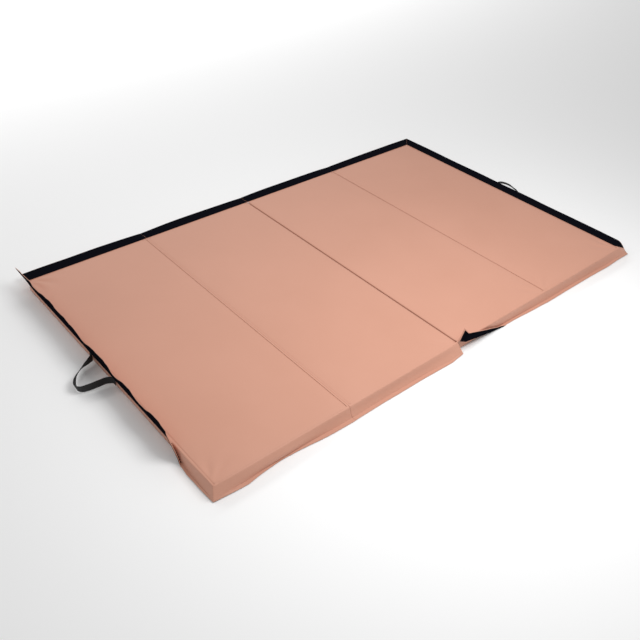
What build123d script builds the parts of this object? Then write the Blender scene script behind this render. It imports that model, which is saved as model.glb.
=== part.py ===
"""Folding exercise mat: foam panels in a sewn vinyl cover, with hook-and-loop flaps and end handles.

Lengths are in millimetres. +X runs along the mat from its left end to its right end, +Y runs
from front to back and +Z points up. The origin lies on the floor, under the middle of the
whole object with its flaps and handles.
"""

import os
from math import asin, cos, degrees, radians, sin

from build123d import *

os.makedirs("parts", exist_ok=True)

# Panels
panel_count = 4
panel_pitch = 457.2  # hinge line to hinge line, 18 in
body_width = 1120.0  # wall to wall, without the side flaps
mat_thickness = 38.1  # 1.5 in
fold_gap = 3.0  # between neighbouring panels
corner_radius = 12.0  # of a panel, seen from above
vinyl = 1.0  # cover material
inside_clearance = 0.3  # between the foam and its cover, and between cover parts

# Flaps and their hook-and-loop tape
flap_width = 50.0
flap_thickness = 2.0  # two layers of vinyl
flap_clearance = 0.3  # between a flap's sewn edge and the wall
flap_end_inset = 4.0  # between the end of a side flap and the end of its panel
tape_thickness = 1.8
tape_gap = 0.1  # between a tape and its flap
tape_inset = 5.0  # between a tape and its flap's sewn edge
tape_margin = 2.0  # between a tape and its flap's free edge
tape_end_inset = 3.0  # between a tape's end and its flap's end
back_flap_angle = 0.0  # above horizontal
front_edge_height = 3.4  # middle of the hanging front flaps' free edge above the floor
right_flap_angle = 0.0
left_flap_angle = 68.0
left_tail = 38.0  # how far the left flap's back corner is drawn out past the mat's side
right_tape_bare = 45.0  # bare vinyl at the front end of the right flap

# Handles
handle_foot_gap = 6.0  # between the floor and the webbing, which stands on edge
handle_headroom = 2.9  # between the webbing and the end flap above it
handle_webbing = 2.5  # thickness
handle_span = 145.0  # between the middles of the two legs
handle_reach = 100.0  # from the wall to the outside of the loop
handle_bend = 45.0  # outside radius of the loop's two corners
handle_offset = 15.0  # of the handles' middle, towards the back from the middle of the wall
patch_width = 30.0  # of the sewn end, along the wall
patch_thickness = 2.0
patch_clearance = 0.5  # between a sewn end and the leg that turns in front of it

# Places that follow from the sizes above
mat_length = panel_count * panel_pitch
half_length = mat_length / 2
half_width = body_width / 2
flap_radius = flap_thickness / 2
flap_axis_out = flap_clearance + flap_radius
flap_run = flap_width - flap_radius
back_reach = flap_clearance + flap_width
bare_axis_z = mat_thickness - flap_clearance - flap_radius
taped_axis_z = bare_axis_z - tape_gap - tape_thickness
front_drop = asin((bare_axis_z - front_edge_height) / flap_run)
front_flap_angle = -degrees(front_drop)
front_reach = flap_axis_out + flap_run * cos(front_drop) + flap_radius * sin(front_drop)
body_y = (front_reach - back_reach) / 2
back_wall = body_y + half_width
front_wall = body_y - half_width
handle_width = taped_axis_z - flap_radius - handle_headroom - handle_foot_gap
handle_height = handle_foot_gap + handle_width / 2
handle_y = body_y + handle_offset
handle_axis_out = patch_thickness + patch_clearance + handle_width / 2
wall_height = mat_thickness - vinyl - inside_clearance


def save(piece, name):
    """Name a piece and write it to its own file."""
    piece.part.label = name
    export_step(piece.part, f"parts/{name}.step")


def side_plane(out, along, point):
    """A plane across a flap: local x points out from the wall, local y points up."""
    return Plane(origin=point, x_dir=out, z_dir=along)


def flap(plane, angle, length):
    """A flap with its rounded sewn edge on the plane's origin, running along the plane's normal."""
    with BuildPart() as piece:
        with BuildSketch(plane):
            Circle(flap_radius)
            Rectangle(flap_run, flap_thickness, rotation=angle, align=(Align.MIN, Align.CENTER))
        extrude(amount=length)
    return piece


def tape(plane, angle, length, face):
    """The tape on a flap's upper face (face = 1) or lower face (face = -1)."""
    width = flap_run - tape_inset - tape_margin
    turn = radians(angle)
    along = tape_inset + width / 2
    across = face * (flap_radius + tape_gap + tape_thickness / 2)
    middle = (along * cos(turn) - across * sin(turn), along * sin(turn) + across * cos(turn))
    with BuildPart() as piece:
        with BuildSketch(plane):
            with Locations(middle):
                Rectangle(width, tape_thickness, rotation=angle)
        extrude(amount=length)
    return piece


# Panels: foam inside a tray of bottom and walls, closed by a top sheet
for number in range(1, panel_count + 1):
    middle_x = (number - 0.5) * panel_pitch - half_length
    panel_length = panel_pitch - fold_gap
    foam_inset = 2 * (vinyl + inside_clearance)

    with BuildPart() as tray:
        with BuildSketch(Plane.XY):
            with Locations((middle_x, body_y)):
                RectangleRounded(panel_length, body_width, corner_radius)
        extrude(amount=wall_height)
        with BuildSketch(Plane.XY.offset(vinyl)):
            with Locations((middle_x, body_y)):
                RectangleRounded(
                    panel_length - 2 * vinyl, body_width - 2 * vinyl, corner_radius - vinyl
                )
        extrude(amount=wall_height, mode=Mode.SUBTRACT)
    save(tray, f"base_tray_{number}")

    with BuildPart() as foam:
        with BuildSketch(Plane.XY.offset(vinyl + inside_clearance)):
            with Locations((middle_x, body_y)):
                RectangleRounded(
                    panel_length - foam_inset, body_width - foam_inset, corner_radius - foam_inset / 2
                )
        extrude(amount=wall_height - vinyl - inside_clearance)
    save(foam, f"foam_core_{number}")

    with BuildPart() as top_sheet:
        with BuildSketch(Plane.XY.offset(mat_thickness - vinyl)):
            with Locations((middle_x, body_y)):
                RectangleRounded(panel_length, body_width, corner_radius)
        extrude(amount=vinyl)
    save(top_sheet, f"top_sheet_{number}")

# Hinge strips: the first and third folds hinge at the top face, the second at the underside
strip_width = fold_gap - 2 * inside_clearance
strip_length = body_width - 2 * corner_radius
for number in range(1, panel_count):
    fold_x = number * panel_pitch - half_length
    strip_z = 0 if number == 2 else mat_thickness - vinyl
    with BuildPart() as strip:
        with BuildSketch(Plane.XY.offset(strip_z)):
            with Locations((fold_x, body_y)):
                Rectangle(strip_width, strip_length)
        extrude(amount=vinyl)
    save(strip, f"fold_strip_{number}")

# Side flaps, one to a panel: tape on top along the back, tape underneath along the front
side_flap_length = panel_pitch - fold_gap - 2 * flap_end_inset
side_tape_length = side_flap_length - 2 * tape_end_inset
for number in range(1, panel_count + 1):
    panel_start = (number - 1) * panel_pitch - half_length + fold_gap / 2
    start_x = panel_start + flap_end_inset
    end_x = start_x + side_flap_length

    back_axis_y = back_wall + flap_axis_out
    back_plane = side_plane((0, 1, 0), (1, 0, 0), (start_x, back_axis_y, taped_axis_z))
    save(flap(back_plane, back_flap_angle, side_flap_length), f"back_flap_{number}")
    back_tape_plane = back_plane.offset(tape_end_inset)
    save(tape(back_tape_plane, back_flap_angle, side_tape_length, 1), f"back_tape_{number}")

    front_axis_y = front_wall - flap_axis_out
    front_plane = side_plane((0, -1, 0), (-1, 0, 0), (end_x, front_axis_y, bare_axis_z))
    save(flap(front_plane, front_flap_angle, side_flap_length), f"front_flap_{number}")
    front_tape_plane = front_plane.offset(tape_end_inset)
    save(tape(front_tape_plane, front_flap_angle, side_tape_length, -1), f"front_tape_{number}")

# Right end flap: it runs on past the back wall and fills the corner
right_axis_x = half_length - fold_gap / 2 + flap_axis_out
right_end_y = back_wall + back_reach
right_flap_length = right_end_y - (front_wall + flap_end_inset)
right_tape_length = right_flap_length - right_tape_bare - tape_end_inset
right_plane = side_plane((1, 0, 0), (0, -1, 0), (right_axis_x, right_end_y, taped_axis_z))
save(flap(right_plane, right_flap_angle, right_flap_length), "right_end_flap")
right_tape_plane = right_plane.offset(tape_end_inset)
save(tape(right_tape_plane, right_flap_angle, right_tape_length, 1), "right_end_tape")

# Left end flap: it stands up, and its back corner is drawn out to a point
left_axis_x = -right_axis_x
left_start_y = front_wall + flap_end_inset
left_flap_length = back_wall + left_tail - left_start_y
left_plane = side_plane((-1, 0, 0), (0, 1, 0), (left_axis_x, left_start_y, bare_axis_z))
left_turn = radians(left_flap_angle)
left_face = Plane(
    origin=(left_axis_x, back_wall, bare_axis_z),
    x_dir=(0, 1, 0),
    z_dir=(sin(left_turn), 0, cos(left_turn)),
)


def cut_tail(piece):
    """Trim the left flap or its tape to the slanting edge that draws its back corner out."""
    with BuildPart() as trimmed:
        add(piece.part)
        with BuildSketch(left_face):
            with BuildLine():
                Polyline(
                    (0, -flap_width),
                    (0, 0),
                    (left_tail, flap_run),
                    (2 * left_tail, flap_run),
                    (2 * left_tail, -flap_width),
                    close=True,
                )
            make_face()
        extrude(amount=flap_width, both=True, mode=Mode.SUBTRACT)
    return trimmed


save(cut_tail(flap(left_plane, left_flap_angle, left_flap_length)), "left_end_flap")
left_tape_plane = left_plane.offset(tape_end_inset)
left_tape_length = left_flap_length - 2 * tape_end_inset
left_tape = tape(left_tape_plane, left_flap_angle, left_tape_length, -1)
save(cut_tail(left_tape), "left_end_tape")

# Handles: a webbing loop on edge at each end, and the two sewn ends on the wall behind it
for side, name in ((-1, "left"), (1, "right")):
    wall_x = side * (half_length - fold_gap / 2)
    leg_x = wall_x + side * handle_axis_out
    tip_x = wall_x + side * handle_reach
    loop_back_x = leg_x - side * handle_bend
    middle_x = (loop_back_x + tip_x) / 2
    loop_length = abs(tip_x - loop_back_x)
    outer_span = handle_span + handle_webbing

    with BuildPart() as strap:
        with BuildSketch(Plane.XY.offset(handle_height - handle_width / 2)):
            with Locations((middle_x, handle_y)):
                RectangleRounded(loop_length, outer_span, handle_bend)
                RectangleRounded(
                    loop_length - 2 * handle_webbing,
                    outer_span - 2 * handle_webbing,
                    handle_bend - handle_webbing,
                    mode=Mode.SUBTRACT,
                )
            with Locations((loop_back_x, handle_y)):
                Rectangle(2 * handle_bend, 2 * outer_span, mode=Mode.SUBTRACT)
        extrude(amount=handle_width)
        for end in (-1, 1):
            leg_plane = Plane(
                origin=(leg_x, handle_y + end * handle_span / 2, handle_height),
                x_dir=(1, 0, 0),
                z_dir=(0, 1, 0),
            )
            with BuildSketch(leg_plane):
                Circle(handle_width / 2)
            extrude(amount=handle_webbing / 2, both=True)
    save(strap, f"{name}_handle_strap")

    for end, place in ((-1, "front"), (1, "rear")):
        patch_x = wall_x + side * (tape_gap + patch_thickness / 2)
        patch_y = handle_y + end * handle_span / 2
        with BuildPart() as patch:
            with BuildSketch(Plane.XY.offset(handle_height - handle_width / 2)):
                with Locations((patch_x, patch_y)):
                    Rectangle(patch_thickness, patch_width)
            extrude(amount=handle_width)
        save(patch, f"{name}_handle_end_{place}")
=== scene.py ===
from math import cos, radians, sin

import bpy
import numpy as np
from bpy.props import FloatProperty, FloatVectorProperty, IntProperty, PointerProperty
from bpy.types import Operator, Panel, PropertyGroup
from mathutils import Matrix, Vector, noise


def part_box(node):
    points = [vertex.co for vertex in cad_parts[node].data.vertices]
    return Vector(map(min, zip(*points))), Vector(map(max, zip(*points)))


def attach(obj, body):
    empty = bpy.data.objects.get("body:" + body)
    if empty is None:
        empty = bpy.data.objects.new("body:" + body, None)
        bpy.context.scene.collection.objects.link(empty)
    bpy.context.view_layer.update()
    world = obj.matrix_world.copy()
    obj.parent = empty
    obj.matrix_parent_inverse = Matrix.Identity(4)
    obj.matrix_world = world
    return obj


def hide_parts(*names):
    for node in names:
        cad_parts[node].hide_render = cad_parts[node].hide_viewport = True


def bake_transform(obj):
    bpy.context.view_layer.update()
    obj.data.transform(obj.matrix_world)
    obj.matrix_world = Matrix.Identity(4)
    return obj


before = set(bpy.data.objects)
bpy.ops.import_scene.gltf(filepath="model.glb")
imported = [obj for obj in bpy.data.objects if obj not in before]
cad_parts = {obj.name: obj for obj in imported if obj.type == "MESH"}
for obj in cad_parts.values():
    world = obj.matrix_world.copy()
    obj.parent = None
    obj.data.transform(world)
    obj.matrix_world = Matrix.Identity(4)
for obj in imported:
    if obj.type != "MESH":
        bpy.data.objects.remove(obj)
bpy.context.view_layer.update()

bl_info = {
    "name": "Folding Exercise Mat",
    "version": (1, 0, 0),
    "blender": (4, 5, 0),
    "location": "View3D > Sidebar > Mat",
    "description": "Builds the soft cover, flaps, tapes and handles of a folding exercise mat",
    "category": "Object",
}

PANELS = (1, 2, 3, 4)


# ---------------------------------------------------------------- sizes taken from the frame

def panel_box(number):
    """The lowest and highest corner of one panel, cover and all."""
    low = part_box(f"base_tray_{number}")[0]
    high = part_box(f"top_sheet_{number}")[1]
    return low, high


MAT_LOW = panel_box(1)[0]
MAT_HIGH = panel_box(4)[1]
TOP = MAT_HIGH.z
FRONT_WALL = MAT_LOW.y
BACK_WALL = MAT_HIGH.y
LEFT_WALL = MAT_LOW.x
RIGHT_WALL = MAT_HIGH.x
FOLDS = {n: (panel_box(n)[1].x + panel_box(n + 1)[0].x) / 2 for n in (1, 2, 3)}
FLAP_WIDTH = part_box("back_flap_1")[1].y - BACK_WALL


# ---------------------------------------------------------------- settings

class MatCoverSettings(PropertyGroup):
    colour: FloatVectorProperty(
        name="Vinyl Colour",
        description="Colour of the coated fabric",
        subtype="COLOR",
        size=3,
        min=0,
        max=1,
        default=(0.60, 0.306, 0.218),
    )
    edge_radius: FloatProperty(
        name="Edge Radius",
        description="Rounding of a panel's long edges",
        default=0.0035,
        min=0.001,
        max=0.015,
        unit="LENGTH",
    )
    corner_radius: FloatProperty(
        name="Corner Radius",
        description="Rounding of a panel's four upright corners",
        default=0.012,
        min=0.003,
        max=0.05,
        unit="LENGTH",
    )
    voxel: FloatProperty(
        name="Simulation Grain",
        description="Mesh size of the cloth that is blown out to the cover's shape",
        default=0.006,
        min=0.004,
        max=0.02,
        unit="LENGTH",
    )
    swell: FloatProperty(
        name="Swell",
        description="How far the cover may stand out from the cut foam",
        default=0.0014,
        min=0.0,
        max=0.006,
        unit="LENGTH",
    )
    frames: IntProperty(
        name="Simulation Frames",
        description="How many frames the cover is blown out for",
        default=20,
        min=1,
        max=40,
    )


class MatFlapSettings(PropertyGroup):
    vinyl: FloatProperty(
        name="Vinyl Thickness",
        description="Thickness of a flap",
        default=0.0012,
        min=0.0005,
        max=0.003,
        unit="LENGTH",
    )
    tape: FloatProperty(
        name="Tape Thickness",
        description="Thickness of the hook-and-loop tape",
        default=0.0012,
        min=0.0005,
        max=0.003,
        unit="LENGTH",
    )
    margin: FloatProperty(
        name="Bare Edge",
        description="Vinyl left bare beside the tape at a flap's free edge",
        default=0.0022,
        min=0.0,
        max=0.01,
        unit="LENGTH",
    )
    tape_colour: FloatVectorProperty(
        name="Tape Colour",
        description="Colour of the hook-and-loop tape",
        subtype="COLOR",
        size=3,
        min=0,
        max=1,
        default=(0.0040, 0.0040, 0.0066),
    )


class MatHandleSettings(PropertyGroup):
    width: FloatProperty(
        name="Webbing Width",
        description="Width of the handle webbing",
        default=0.025,
        min=0.015,
        max=0.04,
        unit="LENGTH",
    )
    thickness: FloatProperty(
        name="Webbing Thickness",
        description="Thickness of the handle webbing",
        default=0.0018,
        min=0.001,
        max=0.004,
        unit="LENGTH",
    )
    colour: FloatVectorProperty(
        name="Webbing Colour",
        description="Colour of the handle webbing",
        subtype="COLOR",
        size=3,
        min=0,
        max=1,
        default=(0.006, 0.006, 0.0065),
    )


class MatStageSettings(PropertyGroup):
    lens: FloatProperty(
        name="Lens",
        description="Focal length of the camera",
        default=42.0,
        min=10,
        max=200,
        unit="CAMERA",
    )
    floor_colour: FloatVectorProperty(
        name="Floor Colour",
        description="Colour of the floor and the surroundings",
        subtype="COLOR",
        size=3,
        min=0,
        max=1,
        default=(0.93, 0.93, 0.93),
    )
    key_power: FloatProperty(
        name="Key Light",
        description="Power of the large soft light",
        default=15.5,
        min=0,
        max=2000,
        unit="POWER",
    )


# ---------------------------------------------------------------- mesh helpers

def deselect():
    """Leave nothing selected."""
    bpy.ops.object.select_all(action="DESELECT")


def only(piece):
    """Select one piece and make it active."""
    deselect()
    piece.select_set(True)
    bpy.context.view_layer.objects.active = piece


def apply_modifiers(piece):
    """Apply every modifier on a piece, in order."""
    only(piece)
    for modifier in list(piece.modifiers):
        bpy.ops.object.modifier_apply(modifier=modifier.name)


def settle(piece):
    """Put a piece's place, turn and size into its mesh."""
    only(piece)
    bpy.ops.object.transform_apply(location=True, rotation=True, scale=True)


def points_of(piece):
    """A piece's points as an array."""
    points = np.zeros(len(piece.data.vertices) * 3)
    piece.data.vertices.foreach_get("co", points)
    return points.reshape(-1, 3)


def put_points(piece, points):
    """Move a piece's points."""
    piece.data.vertices.foreach_set("co", np.asarray(points, float).ravel())
    piece.data.update()


def smooth(piece, angle=35):
    """Shade a piece smooth, except across sharp edges."""
    only(piece)
    bpy.ops.object.shade_smooth_by_angle(angle=radians(angle))


def eased(value, low, high):
    """0 below low, 1 above high, and smooth between."""
    share = np.clip((value - low) / (high - low), 0, 1)
    return share * share * (3 - 2 * share)


def curve_through(stations, values):
    """A smooth curve through values at stations, as a function of place."""
    stations = np.array(stations, float)
    values = np.array(values, float)
    slopes = np.gradient(values, stations)

    def at(place):
        place = float(np.clip(place, stations[0], stations[-1]))
        i = int(np.clip(np.searchsorted(stations, place) - 1, 0, len(stations) - 2))
        span = stations[i + 1] - stations[i]
        t = (place - stations[i]) / span
        return float(
            values[i] * (1 + 2 * t) * (1 - t) ** 2
            + slopes[i] * span * t * (1 - t) ** 2
            + values[i + 1] * t * t * (3 - 2 * t)
            + slopes[i + 1] * span * t * t * (t - 1)
        )

    return at


def ripple(place, seed, size=1.0):
    """Smooth noise from about -1 to 1 along a line."""
    return noise.noise(Vector((place * size, seed * 7.31, seed * 3.17))) * 1.6


def sheet_surface(name, along, across, surface, size):
    """A grid of cloth: surface(u, v) gives each point, and its UV map is in metres."""
    deselect()
    bpy.ops.mesh.primitive_grid_add(x_subdivisions=along, y_subdivisions=across, size=1)
    piece = bpy.context.active_object
    piece.name = name
    piece.data.name = name
    flat = points_of(piece) + 0.5
    put_points(piece, [surface(u, v) for u, v, _ in flat])
    layer = piece.data.uv_layers.active or piece.data.uv_layers.new(name="UVMap")
    for loop in piece.data.loops:
        u, v, _ = flat[loop.vertex_index]
        layer.data[loop.index].uv = (u * size[0], v * size[1])
    return piece


def thicken(piece, thickness):
    """Give a sheet its thickness and a small rounding on its rim."""
    solid = piece.modifiers.new("Thickness", "SOLIDIFY")
    solid.thickness = thickness
    solid.offset = 0.0
    solid.use_even_offset = True
    rim = piece.modifiers.new("Rim", "BEVEL")
    rim.width = thickness * 0.3
    rim.segments = 2
    rim.limit_method = "ANGLE"
    rim.angle_limit = radians(60)
    apply_modifiers(piece)
    smooth(piece)


# ---------------------------------------------------------------- materials

def new_group(name, inputs, outputs):
    """A shader node group with named sockets, and its input and output nodes."""
    group = bpy.data.node_groups.new(name, "ShaderNodeTree")
    for label, kind, default in inputs:
        socket = group.interface.new_socket(label, in_out="INPUT", socket_type=kind)
        if default is not None:
            socket.default_value = default
    for label, kind in outputs:
        group.interface.new_socket(label, in_out="OUTPUT", socket_type=kind)
    source = group.nodes.new("NodeGroupInput")
    sink = group.nodes.new("NodeGroupOutput")
    return group, source, sink


def grain_group():
    """Fine leather-like grain with broad soft patches: a height and a patch mask."""
    if "Vinyl Grain" in bpy.data.node_groups:
        return bpy.data.node_groups["Vinyl Grain"]
    group, source, sink = new_group(
        "Vinyl Grain",
        [("Vector", "NodeSocketVector", None), ("Cell Scale", "NodeSocketFloat", 700.0)],
        [("Height", "NodeSocketFloat"), ("Patches", "NodeSocketFloat")],
    )
    nodes, links = group.nodes, group.links
    cells = nodes.new("ShaderNodeTexVoronoi")
    cells.feature = "SMOOTH_F1"
    cells.inputs["Smoothness"].default_value = 0.6
    links.new(source.outputs["Vector"], cells.inputs["Vector"])
    links.new(source.outputs["Cell Scale"], cells.inputs["Scale"])
    pores = nodes.new("ShaderNodeTexNoise")
    pores.inputs["Scale"].default_value = 1500
    pores.inputs["Detail"].default_value = 3
    links.new(source.outputs["Vector"], pores.inputs["Vector"])
    mix = nodes.new("ShaderNodeMath")
    mix.operation = "MULTIPLY_ADD"
    mix.inputs[1].default_value = 0.5
    links.new(pores.outputs["Fac"], mix.inputs[0])
    links.new(cells.outputs["Distance"], mix.inputs[2])
    links.new(mix.outputs[0], sink.inputs["Height"])
    broad = nodes.new("ShaderNodeTexNoise")
    broad.inputs["Scale"].default_value = 3.2
    broad.inputs["Detail"].default_value = 3
    broad.inputs["Roughness"].default_value = 0.55
    links.new(source.outputs["Vector"], broad.inputs["Vector"])
    links.new(broad.outputs["Fac"], sink.inputs["Patches"])
    return group


def vinyl_material(settings):
    """Copper-pink coated fabric with a fine grain and a soft sheen."""
    if "vinyl" in bpy.data.materials:
        return bpy.data.materials["vinyl"]
    material = bpy.data.materials.new("vinyl")
    material.use_nodes = True
    nodes, links = material.node_tree.nodes, material.node_tree.links
    shader = nodes["Principled BSDF"]
    place = nodes.new("ShaderNodeTexCoord")
    grain = nodes.new("ShaderNodeGroup")
    grain.node_tree = grain_group()
    grain.inputs["Cell Scale"].default_value = 650
    links.new(place.outputs["Object"], grain.inputs["Vector"])

    colour = nodes.new("ShaderNodeMix")
    colour.data_type = "RGBA"
    base = settings.colour
    colour.inputs["A"].default_value = (base[0] * 0.94, base[1] * 0.92, base[2] * 0.90, 1)
    colour.inputs["B"].default_value = (
        min(base[0] * 1.05, 1), min(base[1] * 1.07, 1), min(base[2] * 1.09, 1), 1
    )
    links.new(grain.outputs["Patches"], colour.inputs["Factor"])
    darken = nodes.new("ShaderNodeMix")
    darken.data_type = "RGBA"
    darken.blend_type = "MULTIPLY"
    darken.inputs["B"].default_value = (0.90, 0.86, 0.84, 1)
    pits = nodes.new("ShaderNodeMapRange")
    pits.inputs["From Min"].default_value = 0.35
    pits.inputs["From Max"].default_value = 0.75
    pits.inputs["To Max"].default_value = 0.35
    links.new(grain.outputs["Height"], pits.inputs["Value"])
    links.new(pits.outputs["Result"], darken.inputs["Factor"])
    links.new(colour.outputs["Result"], darken.inputs["A"])
    links.new(darken.outputs["Result"], shader.inputs["Base Color"])

    rough = nodes.new("ShaderNodeMapRange")
    rough.inputs["To Min"].default_value = 0.48
    rough.inputs["To Max"].default_value = 0.62
    links.new(grain.outputs["Patches"], rough.inputs["Value"])
    links.new(rough.outputs["Result"], shader.inputs["Roughness"])
    bump = nodes.new("ShaderNodeBump")
    bump.inputs["Strength"].default_value = 0.22
    bump.inputs["Distance"].default_value = 0.0004
    links.new(grain.outputs["Height"], bump.inputs["Height"])
    links.new(bump.outputs["Normal"], shader.inputs["Normal"])
    shader.inputs["Specular IOR Level"].default_value = 0.32
    shader.inputs["Sheen Weight"].default_value = 0.04
    shader.inputs["Sheen Roughness"].default_value = 0.4
    return material


def pile_group():
    """Hook-and-loop pile: fine tufts over a tangle of fibres, as a height and a fuzz mask."""
    if "Pile" in bpy.data.node_groups:
        return bpy.data.node_groups["Pile"]
    group, source, sink = new_group(
        "Pile",
        [("Vector", "NodeSocketVector", None), ("Tuft Scale", "NodeSocketFloat", 900.0)],
        [("Height", "NodeSocketFloat"), ("Fuzz", "NodeSocketFloat")],
    )
    nodes, links = group.nodes, group.links
    tufts = nodes.new("ShaderNodeTexVoronoi")
    tufts.feature = "F1"
    links.new(source.outputs["Vector"], tufts.inputs["Vector"])
    links.new(source.outputs["Tuft Scale"], tufts.inputs["Scale"])
    tangle = nodes.new("ShaderNodeTexNoise")
    tangle.inputs["Scale"].default_value = 260
    tangle.inputs["Detail"].default_value = 5
    tangle.inputs["Roughness"].default_value = 0.7
    links.new(source.outputs["Vector"], tangle.inputs["Vector"])
    mix = nodes.new("ShaderNodeMath")
    mix.operation = "MULTIPLY_ADD"
    mix.inputs[1].default_value = 0.9
    links.new(tangle.outputs["Fac"], mix.inputs[0])
    links.new(tufts.outputs["Distance"], mix.inputs[2])
    links.new(mix.outputs[0], sink.inputs["Height"])
    links.new(tangle.outputs["Fac"], sink.inputs["Fuzz"])
    return group


def tape_material(settings):
    """Black hook-and-loop tape with a short fuzzy pile."""
    if "tape_pile" in bpy.data.materials:
        return bpy.data.materials["tape_pile"]
    material = bpy.data.materials.new("tape_pile")
    material.use_nodes = True
    nodes, links = material.node_tree.nodes, material.node_tree.links
    shader = nodes["Principled BSDF"]
    place = nodes.new("ShaderNodeTexCoord")
    pile = nodes.new("ShaderNodeGroup")
    pile.node_tree = pile_group()
    pile.inputs["Tuft Scale"].default_value = 800
    links.new(place.outputs["UV"], pile.inputs["Vector"])
    colour = nodes.new("ShaderNodeMix")
    colour.data_type = "RGBA"
    base = settings.tape_colour
    colour.inputs["A"].default_value = (base[0] * 0.55, base[1] * 0.55, base[2] * 0.55, 1)
    colour.inputs["B"].default_value = (base[0] * 1.5, base[1] * 1.5, base[2] * 1.5, 1)
    links.new(pile.outputs["Fuzz"], colour.inputs["Factor"])
    links.new(colour.outputs["Result"], shader.inputs["Base Color"])
    bump = nodes.new("ShaderNodeBump")
    bump.inputs["Strength"].default_value = 0.8
    bump.inputs["Distance"].default_value = 0.0008
    links.new(pile.outputs["Height"], bump.inputs["Height"])
    links.new(bump.outputs["Normal"], shader.inputs["Normal"])
    shader.inputs["Roughness"].default_value = 0.88
    shader.inputs["Specular IOR Level"].default_value = 0.0
    shader.inputs["Sheen Weight"].default_value = 0.01
    shader.inputs["Sheen Roughness"].default_value = 0.5
    shader.inputs["Sheen Tint"].default_value = (0.5, 0.5, 0.6, 1)
    return material


def weave_group():
    """Ribbed webbing: warp ribs along the strap crossed by fine weft."""
    if "Webbing Weave" in bpy.data.node_groups:
        return bpy.data.node_groups["Webbing Weave"]
    group, source, sink = new_group(
        "Webbing Weave",
        [("Vector", "NodeSocketVector", None)],
        [("Height", "NodeSocketFloat"), ("Thread", "NodeSocketFloat")],
    )
    nodes, links = group.nodes, group.links
    warp = nodes.new("ShaderNodeTexWave")
    warp.bands_direction = "Y"
    warp.inputs["Scale"].default_value = 110
    links.new(source.outputs["Vector"], warp.inputs["Vector"])
    weft = nodes.new("ShaderNodeTexWave")
    weft.bands_direction = "DIAGONAL"
    weft.inputs["Scale"].default_value = 170
    weft.inputs["Distortion"].default_value = 0.6
    links.new(source.outputs["Vector"], weft.inputs["Vector"])
    product = nodes.new("ShaderNodeMath")
    product.operation = "MULTIPLY_ADD"
    product.inputs[1].default_value = 0.6
    links.new(weft.outputs["Fac"], product.inputs[0])
    links.new(warp.outputs["Fac"], product.inputs[2])
    links.new(product.outputs[0], sink.inputs["Height"])
    links.new(weft.outputs["Fac"], sink.inputs["Thread"])
    return group


def webbing_material(settings):
    """Black woven webbing."""
    if "strap_webbing" in bpy.data.materials:
        return bpy.data.materials["strap_webbing"]
    material = bpy.data.materials.new("strap_webbing")
    material.use_nodes = True
    nodes, links = material.node_tree.nodes, material.node_tree.links
    shader = nodes["Principled BSDF"]
    place = nodes.new("ShaderNodeTexCoord")
    weave = nodes.new("ShaderNodeGroup")
    weave.node_tree = weave_group()
    links.new(place.outputs["UV"], weave.inputs["Vector"])
    colour = nodes.new("ShaderNodeMix")
    colour.data_type = "RGBA"
    base = settings.colour
    colour.inputs["A"].default_value = (base[0] * 0.6, base[1] * 0.6, base[2] * 0.6, 1)
    colour.inputs["B"].default_value = (base[0] * 1.9, base[1] * 1.9, base[2] * 1.9, 1)
    links.new(weave.outputs["Thread"], colour.inputs["Factor"])
    links.new(colour.outputs["Result"], shader.inputs["Base Color"])
    bump = nodes.new("ShaderNodeBump")
    bump.inputs["Strength"].default_value = 0.7
    bump.inputs["Distance"].default_value = 0.0005
    links.new(weave.outputs["Height"], bump.inputs["Height"])
    links.new(bump.outputs["Normal"], shader.inputs["Normal"])
    shader.inputs["Roughness"].default_value = 0.6
    shader.inputs["Specular IOR Level"].default_value = 0.4
    return material


def floor_material(settings):
    """Plain pale studio floor."""
    material = bpy.data.materials.new("floor")
    material.use_nodes = True
    nodes, links = material.node_tree.nodes, material.node_tree.links
    shader = nodes["Principled BSDF"]
    shader.inputs["Base Color"].default_value = (*settings.floor_colour, 1)
    shader.inputs["Roughness"].default_value = 0.8
    shader.inputs["Specular IOR Level"].default_value = 0.1
    return material


# ---------------------------------------------------------------- panels

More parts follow.
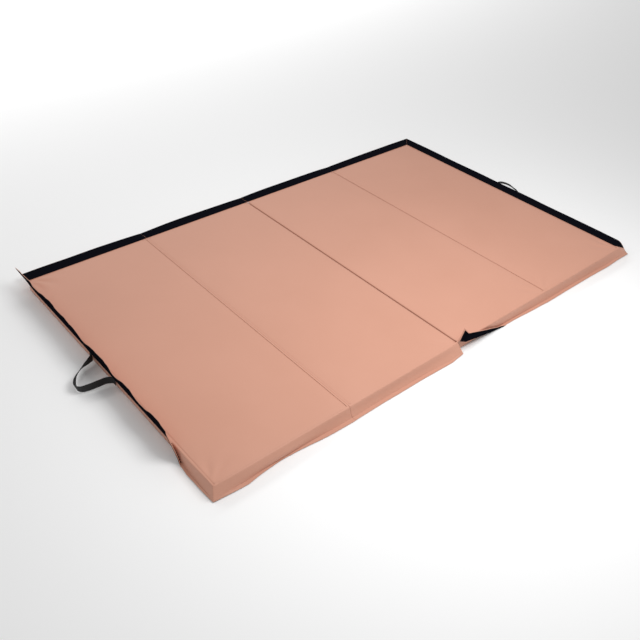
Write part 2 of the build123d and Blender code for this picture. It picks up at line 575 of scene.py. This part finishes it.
def cover_master(settings):
    """One panel's cover, centred on the origin, blown out over its foam as cloth."""
    low, high = panel_box(1)
    size = high - low
    shrink = settings.swell - 0.0002
    deselect()
    bpy.ops.mesh.primitive_cube_add(size=1)
    cover = bpy.context.active_object
    cover.name = "cover_master"
    cover.scale = (size.x - 2 * shrink, size.y - 2 * shrink, size.z - 2 * shrink)
    cover.location = (0, 0, low.z + size.z / 2)
    settle(cover)
    bpy.ops.object.mode_set(mode="EDIT")
    bpy.ops.mesh.select_mode(type="EDGE")
    bpy.ops.mesh.select_all(action="DESELECT")
    bpy.ops.object.mode_set(mode="OBJECT")
    for edge in cover.data.edges:
        a, b = (cover.data.vertices[i].co for i in edge.vertices)
        edge.select = abs(a.z - b.z) > 0.01
    bpy.ops.object.mode_set(mode="EDIT")
    bpy.ops.mesh.bevel(offset=settings.corner_radius, segments=6)
    bpy.ops.object.mode_set(mode="OBJECT")
    rim = cover.modifiers.new("Edges", "BEVEL")
    rim.width = settings.edge_radius
    rim.segments = 3
    rim.limit_method = "ANGLE"
    rim.angle_limit = radians(50)
    remesh = cover.modifiers.new("Cloth Grain", "REMESH")
    remesh.mode = "VOXEL"
    remesh.voxel_size = settings.voxel
    apply_modifiers(cover)
    rest = points_of(cover)
    cloth = cover.modifiers.new("Cloth", "CLOTH")
    cloth.settings.quality = 5
    cloth.settings.mass = 0.3
    cloth.settings.tension_stiffness = 12
    cloth.settings.compression_stiffness = 12
    cloth.settings.shear_stiffness = 5
    cloth.settings.bending_stiffness = 0.6
    cloth.settings.use_pressure = True
    cloth.settings.uniform_pressure_force = 4
    cloth.settings.effector_weights.gravity = 0
    cloth.collision_settings.use_collision = False
    cloth.point_cache.frame_start = 1
    cloth.point_cache.frame_end = settings.frames
    scene = bpy.context.scene
    for step in range(1, settings.frames + 1):
        scene.frame_set(step)
    apply_modifiers(cover)
    scene.frame_set(1)
    moved = points_of(cover) - rest
    reach = np.linalg.norm(moved, axis=1, keepdims=True)
    moved *= np.minimum(1, settings.swell / np.maximum(reach, 1e-9))
    put_points(cover, rest + moved)
    soft = cover.modifiers.new("Even", "SMOOTH")
    soft.factor = 0.5
    soft.iterations = 2
    apply_modifiers(cover)
    return cover


def tighten(points, low, high, fold_left, fold_right):
    """Draw a panel's long edges out sharper, and close its walls up to the folds."""
    tight = points.copy()
    for axis, wall, sign in ((0, low.x, 1), (0, high.x, -1), (1, low.y, 1), (1, high.y, -1)):
        inset = sign * (tight[:, axis] - wall)
        for level, turn in ((high.z, -1), (low.z, 1)):
            drop = turn * (tight[:, 2] - level)
            near = (inset < 0.009) & (drop < 0.009) & (inset > 0) & (drop > 0)
            tight[near, axis] -= sign * inset[near] * 0.45 * (1 - eased(drop[near], 0.004, 0.009))
            tight[near, 2] -= turn * drop[near] * 0.45 * (1 - eased(inset[near], 0.004, 0.009))
    for closed, wall, sign in ((fold_left, low.x, 1), (fold_right, high.x, -1)):
        if closed:
            inset = sign * (tight[:, 0] - wall)
            tight[:, 0] -= sign * 0.0016 * (1 - eased(inset, 0.002, 0.012))
    return tight


# a corner of each panel, and how deep the cover puckers near it
CORNER_PUCKERS = {
    1: ((LEFT_WALL, FRONT_WALL, 0.0040), (LEFT_WALL, BACK_WALL, 0.0046)),
    2: ((FOLDS[2], FRONT_WALL, 0.0030),),
    3: ((FOLDS[3], FRONT_WALL, 0.0020),),
    4: ((RIGHT_WALL, FRONT_WALL, 0.0036), (FOLDS[3], FRONT_WALL, 0.0020)),
}


def shape_panel(points, number):
    """Flat underside, nearly flat top with slight waves, and puckers near the sewn corners."""
    low, high = panel_box(number)
    top = eased(points[:, 2], low.z + 0.55 * (high.z - low.z), high.z - 0.004)
    shaped = tighten(points, low, high, number != 1, number != 4)
    for i, (x, y, z) in enumerate(shaped):
        if top[i] <= 0:
            continue
        fold = min(abs(x - FOLDS[n]) for n in (1, 2, 3))
        wave = noise.noise(Vector((x * 4.0, y * 4.0, number * 2.0)))
        fine = noise.noise(Vector((x * 15.0, y * 15.0, number * 5.0)))
        lift = (0.0005 * wave + 0.00016 * fine) * float(eased(fold, 0.01, 0.06)) - 0.0006
        for cx, cy, depth in CORNER_PUCKERS.get(number, ()):
            away = ((x - cx) ** 2 + (y - cy) ** 2) ** 0.5
            if away < 0.16:
                edge = min(x - low.x, high.x - x, y - low.y, high.y - y)
                turn = np.arctan2(y - cy, x - cx)
                fade = float(np.exp(-(((away - 0.05) / 0.05) ** 2)))
                fade *= float(eased(edge, 0.002, 0.025))
                lift -= depth * fade * (0.5 + 0.5 * sin(turn * 10 + away * 30))
        shaped[i, 2] += lift * top[i]
    shaped[:, 2] = np.clip(shaped[:, 2], low.z + 0.0003, high.z - 0.0001)
    return shaped


class OBJECT_OT_mat_panels(Operator):
    """Build the four padded panels: one cover is blown out as cloth and fitted to each panel"""

    bl_idname = "object.mat_panels"
    bl_label = "Padded Panels"

    def execute(self, context):
        settings = context.scene.mat_cover
        vinyl = vinyl_material(settings)
        master = cover_master(settings)
        base = points_of(master)
        for number in PANELS:
            low, high = panel_box(number)
            deselect()
            cover = master.copy()
            cover.data = master.data.copy()
            cover.name = f"panel_cover_{number}"
            cover.data.name = cover.name
            context.scene.collection.objects.link(cover)
            middle = np.array([(low.x + high.x) / 2, (low.y + high.y) / 2, 0])
            flip = np.array([1 if number in (1, 4) else -1, 1, 1])
            put_points(cover, shape_panel(base * flip + middle, number))
            only(cover)
            bpy.ops.object.mode_set(mode="EDIT")
            bpy.ops.mesh.select_all(action="SELECT")
            bpy.ops.mesh.normals_make_consistent(inside=False)
            bpy.ops.object.mode_set(mode="OBJECT")
            bpy.ops.object.shade_smooth()
            cover.data.materials.clear()
            cover.data.materials.append(vinyl)
            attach(cover, f"panel_{number}")
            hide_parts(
                f"base_tray_{number}", f"top_sheet_{number}", f"foam_core_{number}"
            )
        bpy.data.objects.remove(master)
        return {"FINISHED"}


# ---------------------------------------------------------------- fold strips

class OBJECT_OT_mat_folds(Operator):
    """Build the strips of cover that carry on across the three folds"""

    bl_idname = "object.mat_folds"
    bl_label = "Fold Strips"

    def execute(self, context):
        vinyl = vinyl_material(context.scene.mat_cover)
        half = 0.0060  # of a strip's width
        front, back = FRONT_WALL + 0.0005, BACK_WALL - 0.0005
        for number in (1, 2, 3):
            fold = FOLDS[number]
            under = number == 2
            dip, wide = {1: (0.0010, 0.0011), 2: (0.0010, 0.0016), 3: (0.0004, 0.0018)}[number]

            def surface(u, v):
                x = fold + (v - 0.5) * 2 * half
                y = front + (back - front) * u
                near = float(np.exp(-(((x - fold) / wide) ** 2)))
                if under:
                    return (x, y, 0.0012 + dip * near)
                ends = min(u, 1 - u) * (back - front)
                roll = 0.0022 * float(1 - eased(ends, 0.0, 0.004))
                return (x, y, TOP - 0.00105 - dip * near - roll)

            size = (back - front, 2 * half)
            strip = sheet_surface(f"fold_cloth_{number}", 120, 22, surface, size)
            thicken(strip, 0.0009)
            strip.data.materials.append(vinyl)
            start, end = (fold - 0.002, 0, TOP), (fold + 0.002, 0, TOP)
            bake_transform(strip)
            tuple(start)
            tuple(end)
            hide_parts(f"fold_strip_{number}")
        return {"FINISHED"}


# ---------------------------------------------------------------- flaps

def flap_path(angles, root, floor, steps=64):
    """Points across a flap, from its sewn edge out. angles(s) gives the slope in degrees above
    the outward direction at each distance s, root is the (out, up) place it starts from, and
    below floor the cloth slides outward instead."""
    out, up = root
    path = [(0.0, out, up)]
    step = CLOTH_WIDTH / steps
    for i in range(steps):
        turn = radians(angles((i + 0.5) * step))
        fall = up + step * sin(turn)
        spread = 0.3 + 0.7 * float(eased(turn, radians(-125), radians(-40)))
        out += step * spread if fall < floor else step * cos(turn)
        up = max(fall, floor)
        path.append(((i + 1) * step, out, up))
    return np.array(path)


def along_path(path, distance):
    """The (out, up) place at a distance across a flap, and its upward normal there."""
    reach = 0.0016
    ends = [
        tuple(np.interp(distance + d, path[:, 0], path[:, axis]) for axis in (1, 2))
        for d in (-reach, 0, reach)
    ]
    out, up = ends[1]
    run, rise = ends[2][0] - ends[0][0], ends[2][1] - ends[0][1]
    length = max((run * run + rise * rise) ** 0.5, 1e-9)
    return out, up, -rise / length, run / length


TUCK = 0.004  # of a flap, under the edge of its panel
CLOTH_WIDTH = FLAP_WIDTH + TUCK

# where the outer corners of neighbouring flaps meet
LEFT_FRONT_TIP = (LEFT_WALL - 0.014, FRONT_WALL - 0.018, 0.0024)
RIGHT_FRONT_TIP = (RIGHT_WALL + 0.046, FRONT_WALL - 0.021, 0.0024)
RIGHT_BACK_TIP = (RIGHT_WALL + FLAP_WIDTH, BACK_WALL + FLAP_WIDTH, TOP - 0.004)
LEFT_BACK_TIP = (LEFT_WALL - 0.014, BACK_WALL + 0.042, TOP + 0.036)


def build_flap(name, start, end, outward, angles, tape_above, settings, cover,
               tape_start, tape_ends, root_up=-0.0012, pulls=()):
    """A flap and its tape along one side of the mat.

    start and end are places along the side; outward is a unit vector; angles(u, s) is the slope
    in degrees at share u along the side and distance s across; tape_ends are the lengths left
    bare at the tape's ends. Each pull is (end, tip, reach): the outer corner at that end is drawn
    to the point tip, and the cloth within reach follows it."""
    start, end, outward = Vector(start), Vector(end), Vector(outward)
    length = (end - start).length
    along = (end - start).normalized()
    count = max(24, int(length / 0.0055))
    floor = 0.0010 if tape_above else 0.0024
    paths = [
        flap_path(lambda s, u=i / count: angles(u, s), (-TUCK, TOP + root_up), floor)
        for i in range(count + 1)
    ]

    def place(u, distance, lift):
        spot = min(u * count, count - 1e-6)
        i, part = int(spot), spot - int(spot)
        first, second = along_path(paths[i], distance), along_path(paths[i + 1], distance)
        out, up, nx, nz = (p * (1 - part) + q * part for p, q in zip(first, second))
        rise = Vector((0, 0, up + nz * lift))
        return start + along * (length * u) + outward * (out + nx * lift) + rise

    def drawn(u, distance, lift):
        point = place(u, distance, lift)
        for side, tip, reach in pulls:
            away = (u if side == 0 else 1 - u) * length
            if away < reach and distance > TUCK:
                root = place(side, TUCK, lift)
                target = Vector(tip) + Vector((0, 0, lift))
                straight = root.lerp(target, (distance - TUCK) / FLAP_WIDTH)
                natural = place(side, distance, lift)
                point += (straight - natural) * (1 - away / reach)
        point.z = max(point.z, floor + lift)
        return point

    flap = sheet_surface(
        f"{name}_cloth", count, 36, lambda u, v: drawn(u, v * CLOTH_WIDTH, 0.0),
        (length, CLOTH_WIDTH),
    )
    lift = (1 if tape_above else -1) * (settings.vinyl + settings.tape) / 2 * 1.02
    low, high = tape_ends[0] / length, 1 - tape_ends[1] / length
    far = CLOTH_WIDTH - settings.margin
    tape_name = name.replace("flap", "tape")
    tape = sheet_surface(
        f"{tape_name}_cloth", int(count * (high - low)), 28,
        lambda u, v: drawn(low + (high - low) * u, tape_start + v * (far - tape_start), lift),
        (length * (high - low), far - tape_start),
    )
    thicken(flap, settings.vinyl)
    thicken(tape, settings.tape)
    flap.data.materials.append(vinyl_material(cover))
    tape.data.materials.append(tape_material(settings))
    near, beyond = start - outward * 0.002, start + outward * 0.0035
    for piece, node, slot in ((flap, name, "cover_vinyl"), (tape, tape_name, "hook_and_loop")):
        tuple(near)
        tuple(beyond)
        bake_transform(piece)
        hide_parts(node)


def turned_up(s, crease, hanging, standing):
    """The slope at distance s of a flap that hangs as far as a crease and stands beyond it."""
    up = float(eased(s, crease, crease + 0.007))
    return hanging * (1 - up) + standing * up


# share along the third front flap, and how far it hangs there before its crease
FRONT_CREASE = (
    (0, 0.001), (0.1, 0.009), (0.25, 0.021), (0.4, 0.033), (0.5, 0.045), (0.56, 0.062), (1, 0.062),
)
FRONT_STANDING = 81  # slope in degrees beyond that crease


def front_angles(number):
    """Slopes of a front flap: over the edge, down the wall, then out along the floor. The third
    flap is doubled up along a crease that runs from its left root corner down to the floor."""
    # share along the panel from the left, then the slope of the upper and of the lower part
    falls = {
        1: (
            (0, 0.12, 0.3, 0.45, 0.6, 0.8, 1),
            (-60, -66, -66, -60, -66, -74, -74),
            (-44, -56, -92, -114, -96, -62, -52),
        ),
        2: (
            (0, 0.25, 0.5, 0.75, 0.9, 1),
            (-74, -77, -77, -73, -69, -66),
            (-52, -56, -54, -49, -45, -43),
        ),
        3: (
            (0, 0.3, 0.5, 0.7, 0.85, 1),
            (-80, -84, -86, -85, -83, -81),
            (-80, -84, -88, -86, -78, -70),
        ),
        4: (
            (0, 0.25, 0.5, 0.75, 0.92, 1),
            (-81, -82, -82, -80, -74, -66),
            (-70, -70, -69, -66, -56, -46),
        ),
    }[number]
    upper = curve_through(falls[0], falls[1])
    lower = curve_through(falls[0], falls[2])
    creases = curve_through(*zip(*FRONT_CREASE))

    def angles(u, s):
        waver = 4 * ripple(u * 4, number + 10) * 4 * u * (1 - u)
        bend = float(eased(s, TUCK - 0.001, TUCK + 0.005))
        flare = float(eased(s, 0.018, 0.040))
        fall = upper(u) * (1 - flare) + (lower(u) + waver) * flare
        if number == 3:
            fall = turned_up(s, TUCK + creases(u), fall, FRONT_STANDING)
        return -2 * (1 - bend) + fall * bend

    return angles


def side_ends(number):
    """Where a panel's side flap starts and ends: at the middle of a fold or at the mat's end."""
    left = LEFT_WALL if number == 1 else FOLDS[number - 1] + 0.0002
    right = RIGHT_WALL if number == 4 else FOLDS[number] - 0.0002
    return left, right


class OBJECT_OT_mat_front_flaps(Operator):
    """Build the four front flaps, whose tape is underneath: they hang to the floor as a skirt"""

    bl_idname = "object.mat_front_flaps"
    bl_label = "Front Flaps"

    def execute(self, context):
        scene = context.scene
        roots = {1: -0.0030, 2: -0.0018, 3: -0.0016, 4: -0.0018}
        for number in PANELS:
            left, right = side_ends(number)
            pulls = {
                1: ((0, LEFT_FRONT_TIP, 0.09),),
                2: ((1, (FOLDS[2] + 0.007, FRONT_WALL - 0.024, 0.0024), 0.05),),
                3: ((0, (FOLDS[2] + 0.020, FRONT_WALL - 0.002, TOP + 0.047), 0.03),),
                4: ((1, RIGHT_FRONT_TIP, 0.09),),
            }[number]
            build_flap(
                f"front_flap_{number}", (left, FRONT_WALL, 0), (right, FRONT_WALL, 0), (0, -1, 0),
                front_angles(number), False, scene.mat_flap, scene.mat_cover,
                root_up=roots[number], tape_start=0.009, tape_ends=(0.004, 0.004), pulls=pulls,
            )
        return {"FINISHED"}


def back_angles(number):
    """Slopes of a back flap: level, a little arched at mid-panel and drooping at its ends."""
    def angles(u, s):
        left_end = 0.35 if number == 1 else 1.0
        right_end = 0.1 if number == 4 else 1.0
        ends = max(left_end * (1 - 2 * u), right_end * (2 * u - 1), 0) ** 2.6
        droop = -2 - 8 * ends + 2.0 * ripple(u * 3, number)
        curl = float(eased(s, 0.02, FLAP_WIDTH))
        return min(droop, 0) * (0.35 + 0.65 * curl)

    return angles


class OBJECT_OT_mat_back_flaps(Operator):
    """Build the four back flaps, whose tape is on top"""

    bl_idname = "object.mat_back_flaps"
    bl_label = "Back Flaps"

    def execute(self, context):
        scene = context.scene
        for number in PANELS:
            left, right = side_ends(number)
            build_flap(
                f"back_flap_{number}", (left, BACK_WALL, 0), (right, BACK_WALL, 0), (0, 1, 0),
                back_angles(number), True, scene.mat_flap, scene.mat_cover,
                root_up=-0.0020, tape_start=0.002, tape_ends=(0.0006, 0.0006),
                pulls=((1, RIGHT_BACK_TIP, 0.06),) if number == 4 else (),
            )
        return {"FINISHED"}


def right_angles(u, s):
    """Slopes of the right flap, from its front end: falling there, then level."""
    fall = float(1 - eased(u, 0.0, 0.03))
    droop = -2 + 1.6 * ripple(u * 9, 31)
    curl = float(eased(s, 0.012, FLAP_WIDTH))
    hang = -38 * float(eased(s, 0.003, 0.012))
    return min(droop, 0) * (0.3 + 0.7 * curl) * (1 - fall) + hang * fall


# along the left wall from the mat's middle: the left flap's slope where it hangs, its slope
# where it stands, and how far it hangs before its crease
HANGING_SLOPES = (
    (-0.560, -58), (-0.520, -66), (-0.480, -76), (-0.440, -84), (-0.400, -86), (-0.370, -86),
    (0.560, -86),
)
STANDING_SLOPES = (
    (-0.560, 74), (-0.420, 74), (-0.370, 76), (-0.325, 77), (-0.290, 78), (-0.250, 75),
    (-0.200, 76), (-0.150, 78), (-0.100, 76), (-0.050, 79), (0.000, 81), (0.050, 80),
    (0.100, 77), (0.150, 79), (0.200, 81), (0.260, 79), (0.320, 81), (0.380, 79),
    (0.440, 76), (0.500, 78), (0.560, 78),
)
LEFT_CREASE = (
    (-0.560, 0.062), (-0.440, 0.062), (-0.420, 0.038), (-0.370, 0.0), (0.560, 0.0),
)


def left_angles(front, back):
    """Slopes of the left flap, from its front end: it hangs to the floor there, then a crease
    climbs to the edge, and beyond it the flap stands and wavers."""
    hanging = curve_through(*zip(*HANGING_SLOPES))
    standing_slope = curve_through(*zip(*STANDING_SLOPES))
    creases = curve_through(*zip(*LEFT_CREASE))
    middle = (FRONT_WALL + BACK_WALL) / 2

    def angles(u, s):
        y = front + (back - front) * u
        standing = float(eased(y - middle, -0.39, -0.33))
        curl = float(eased(s, 0.010, FLAP_WIDTH))
        bend = float(eased(s, TUCK - 0.001, TUCK + 0.006))
        waver = 3.5 * ripple(y * 17, 3) + 1.5 * ripple(y * 43, 4)
        crease = creases(y - middle)
        base = standing_slope(y - middle)
        if crease > 0:
            base = turned_up(s, TUCK + crease, hanging(y - middle), base)
        tip = base + standing * (6 * curl - 3 + waver * (0.2 + 1.2 * curl))
        return tip * bend

    return angles


class OBJECT_OT_mat_end_flaps(Operator):
    """Build the flaps of both ends: the left one stands up, the right one lies level"""

    bl_idname = "object.mat_end_flaps"
    bl_label = "End Flaps"

    def execute(self, context):
        scene = context.scene
        build_flap(
            "right_end_flap", (RIGHT_WALL, FRONT_WALL, 0), (RIGHT_WALL, BACK_WALL, 0), (1, 0, 0),
            right_angles, True, scene.mat_flap, scene.mat_cover, root_up=-0.0020,
            tape_start=0.002, tape_ends=(0.014, 0.0002),
            pulls=((0, RIGHT_FRONT_TIP, 0.035), (1, RIGHT_BACK_TIP, 0.06)),
        )
        build_flap(
            "left_end_flap", (LEFT_WALL, FRONT_WALL, 0), (LEFT_WALL, BACK_WALL, 0), (-1, 0, 0),
            left_angles(FRONT_WALL, BACK_WALL), False, scene.mat_flap, scene.mat_cover,
            tape_start=0.006, tape_ends=(0.002, 0.0),
            pulls=((0, LEFT_FRONT_TIP, 0.10), (1, LEFT_BACK_TIP, 0.07)),
        )
        return {"FINISHED"}


# ---------------------------------------------------------------- handles

def strap_line(points, samples):
    """Evenly spaced points and directions along a smooth line through points."""
    points = np.array(points, float)
    stations = np.concatenate([[0], np.cumsum(np.linalg.norm(np.diff(points, axis=0), axis=1))])
    curves = [curve_through(stations, points[:, i]) for i in range(3)]
    dense = np.array([[c(s) for c in curves] for s in np.linspace(0, stations[-1], 800)])
    run = np.concatenate([[0], np.cumsum(np.linalg.norm(np.diff(dense, axis=0), axis=1))])
    even = np.linspace(0, run[-1], samples)
    line = np.stack([np.interp(even, run, dense[:, i]) for i in range(3)], axis=1)
    return line, run[-1]


class OBJECT_OT_mat_handles(Operator):
    """Build the webbing loop at the middle of each end"""

    bl_idname = "object.mat_handles"
    bl_label = "Webbing Handles"

    def execute(self, context):
        settings = context.scene.mat_handle
        webbing = webbing_material(settings)
        for side, name in ((-1, "left"), (1, "right")):
            low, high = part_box(f"{name}_handle_strap")
            middle = (low.y + high.y) / 2
            height = (low.z + high.z) / 2
            wall = LEFT_WALL if side < 0 else RIGHT_WALL
            half = (high.y - low.y) / 2
            # out from the wall, along the wall, up from the webbing's middle, lean of its width
            if side < 0:
                stations = [
                    (0.0016, half + 0.014, 0.002, 0), (0.0016, half, 0.002, 0),
                    (0.014, half - 0.008, 0.002, -18), (0.044, half - 0.022, 0.001, -32),
                    (0.075, half - 0.048, 0, -28), (0.093, 0.000, -0.001, -6),
                    (0.0985, -0.018, -0.002, 14), (0.092, -0.032, -0.001, 12),
                    (0.072, -0.041, 0.001, 2), (0.042, -0.045, 0.002, -2),
                    (0.014, -half + 0.024, 0.003, 0), (0.0016, -half + 0.014, 0.003, 0),
                    (0.0016, -half + 0.002, 0.003, 0),
                ]
            else:
                stations = [
                    (0.0016, half + 0.010, 0, 0), (0.0016, half - 0.004, 0, 0),
                    (0.014, half - 0.008, 0, 14), (0.045, half - 0.010, 0.001, 40),
                    (0.078, half - 0.020, 0.004, 46), (0.095, 0.018, 0.002, 46),
                    (0.0975, -0.010, -0.005, 46), (0.092, -0.036, -0.008, 44),
                    (0.072, -0.054, -0.007, 40), (0.040, -0.064, -0.002, 16),
                    (0.014, -half + 0.004, 0, 0), (0.0016, -half - 0.004, 0, 0),
                    (0.0016, -half - 0.018, 0, 0),
                ]
            points = [(wall + side * o, middle + a, height + r) for o, a, r, _ in stations]
            count = 150
            line, length = strap_line(points, count + 1)
            marks = np.linspace(0, 1, len(stations))
            lean = curve_through(marks, [lean for *_, lean in stations])
            tangents = np.gradient(line, axis=0)

            def surface(u, v):
                i = int(round(u * count))
                tangent = Vector(tangents[i]).normalized()
                upright = Vector((0, 0, 1))
                upright = (upright - tangent * upright.dot(tangent)).normalized()
                turn = Matrix.Rotation(radians(lean(u)), 3, tangent)
                across = turn @ upright
                return Vector(line[i]) + across * (v - 0.5) * settings.width

            strap = sheet_surface(f"{name}_handle", count, 10, surface, (length, settings.width))
            thicken(strap, settings.thickness)
            strap.data.materials.append(webbing)
            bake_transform(strap)
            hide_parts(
                f"{name}_handle_strap",
                f"{name}_handle_end_front", f"{name}_handle_end_rear",
            )
        return {"FINISHED"}


# ---------------------------------------------------------------- stage

class SCENE_OT_mat_stage(Operator):
    """Set up the floor, the soft light and the camera"""

    bl_idname = "scene.mat_stage"
    bl_label = "Stage"

    def execute(self, context):
        settings = context.scene.mat_stage
        deselect()
        bpy.ops.mesh.primitive_plane_add(size=40, location=(0, 0, 0))
        floor = context.active_object
        floor.name = "floor"
        floor.data.materials.append(floor_material(settings))

        world = context.scene.world or bpy.data.worlds.new("World")
        context.scene.world = world
        world.use_nodes = True
        sky = world.node_tree.nodes["Background"]
        sky.inputs["Color"].default_value = (*settings.floor_colour, 1)
        sky.inputs["Strength"].default_value = 0.57

        deselect()
        bpy.ops.object.light_add(type="AREA", location=(0.02, -0.75, 1.35))
        key = context.active_object
        key.name = "key_light"
        key.data.shape = "RECTANGLE"
        key.data.size = 1.0
        key.data.size_y = 0.8
        key.data.energy = settings.key_power
        aim = Vector((0.0, -0.4, 0)) - key.location
        key.rotation_euler = aim.to_track_quat("-Z", "Y").to_euler()

        deselect()
        bpy.ops.object.light_add(type="AREA", location=(0.2, 5.2, 3.4))
        fill = context.active_object
        fill.name = "far_light"
        fill.data.shape = "RECTANGLE"
        fill.data.size = 9.0
        fill.data.size_y = 4.0
        fill.data.energy = settings.key_power * 22
        aim = Vector((0.2, 6.2, 0)) - fill.location
        fill.rotation_euler = aim.to_track_quat("-Z", "Y").to_euler()

        camera = bpy.data.cameras.new("camera")
        camera.lens = settings.lens
        camera.sensor_width = 36
        viewer = bpy.data.objects.new("camera", camera)
        context.scene.collection.objects.link(viewer)
        right = Vector((0.76294, -0.64554, 0.03465))
        up = Vector((0.37550, 0.48614, 0.78909))
        back = Vector((-0.52624, -0.58902, 0.61330))
        turn = Matrix((right, up, back)).transposed().to_4x4()
        middle = (FRONT_WALL + BACK_WALL) / 2
        viewer.matrix_world = Matrix.Translation((-1.532, -1.624 + middle, 1.472 + TOP)) @ turn
        context.scene.camera = viewer
        context.scene.view_settings.view_transform = "Standard"
        return {"FINISHED"}


# ---------------------------------------------------------------- sidebar

class VIEW3D_PT_mat(Panel):
    """Steps that build the mat"""

    bl_label = "Folding Mat"
    bl_idname = "VIEW3D_PT_mat"
    bl_space_type = "VIEW_3D"
    bl_region_type = "UI"
    bl_category = "Mat"

    def draw(self, context):
        scene = context.scene
        for title, settings, operators in (
            ("Cover", scene.mat_cover, ("object.mat_panels", "object.mat_folds")),
            (
                "Flaps", scene.mat_flap,
                ("object.mat_front_flaps", "object.mat_back_flaps", "object.mat_end_flaps"),
            ),
            ("Handles", scene.mat_handle, ("object.mat_handles",)),
            ("Stage", scene.mat_stage, ("scene.mat_stage",)),
        ):
            box = self.layout.box()
            box.label(text=title)
            for name in settings.__annotations__:
                box.prop(settings, name)
            for operator in operators:
                box.operator(operator)


CLASSES = (
    MatCoverSettings,
    MatFlapSettings,
    MatHandleSettings,
    MatStageSettings,
    OBJECT_OT_mat_panels,
    OBJECT_OT_mat_folds,
    OBJECT_OT_mat_front_flaps,
    OBJECT_OT_mat_back_flaps,
    OBJECT_OT_mat_end_flaps,
    OBJECT_OT_mat_handles,
    SCENE_OT_mat_stage,
    VIEW3D_PT_mat,
)


def register():
    for item in CLASSES:
        bpy.utils.register_class(item)
    bpy.types.Scene.mat_cover = PointerProperty(type=MatCoverSettings)
    bpy.types.Scene.mat_flap = PointerProperty(type=MatFlapSettings)
    bpy.types.Scene.mat_handle = PointerProperty(type=MatHandleSettings)
    bpy.types.Scene.mat_stage = PointerProperty(type=MatStageSettings)


def unregister():
    del bpy.types.Scene.mat_stage
    del bpy.types.Scene.mat_handle
    del bpy.types.Scene.mat_flap
    del bpy.types.Scene.mat_cover
    for item in reversed(CLASSES):
        bpy.utils.unregister_class(item)


def main():
    """Build every piece in order."""
    register()
    bpy.ops.scene.mat_stage()
    bpy.ops.object.mat_panels()
    bpy.ops.object.mat_folds()
    bpy.ops.object.mat_front_flaps()
    bpy.ops.object.mat_back_flaps()
    bpy.ops.object.mat_end_flaps()
    bpy.ops.object.mat_handles()


if __name__ == "__main__":
    main()
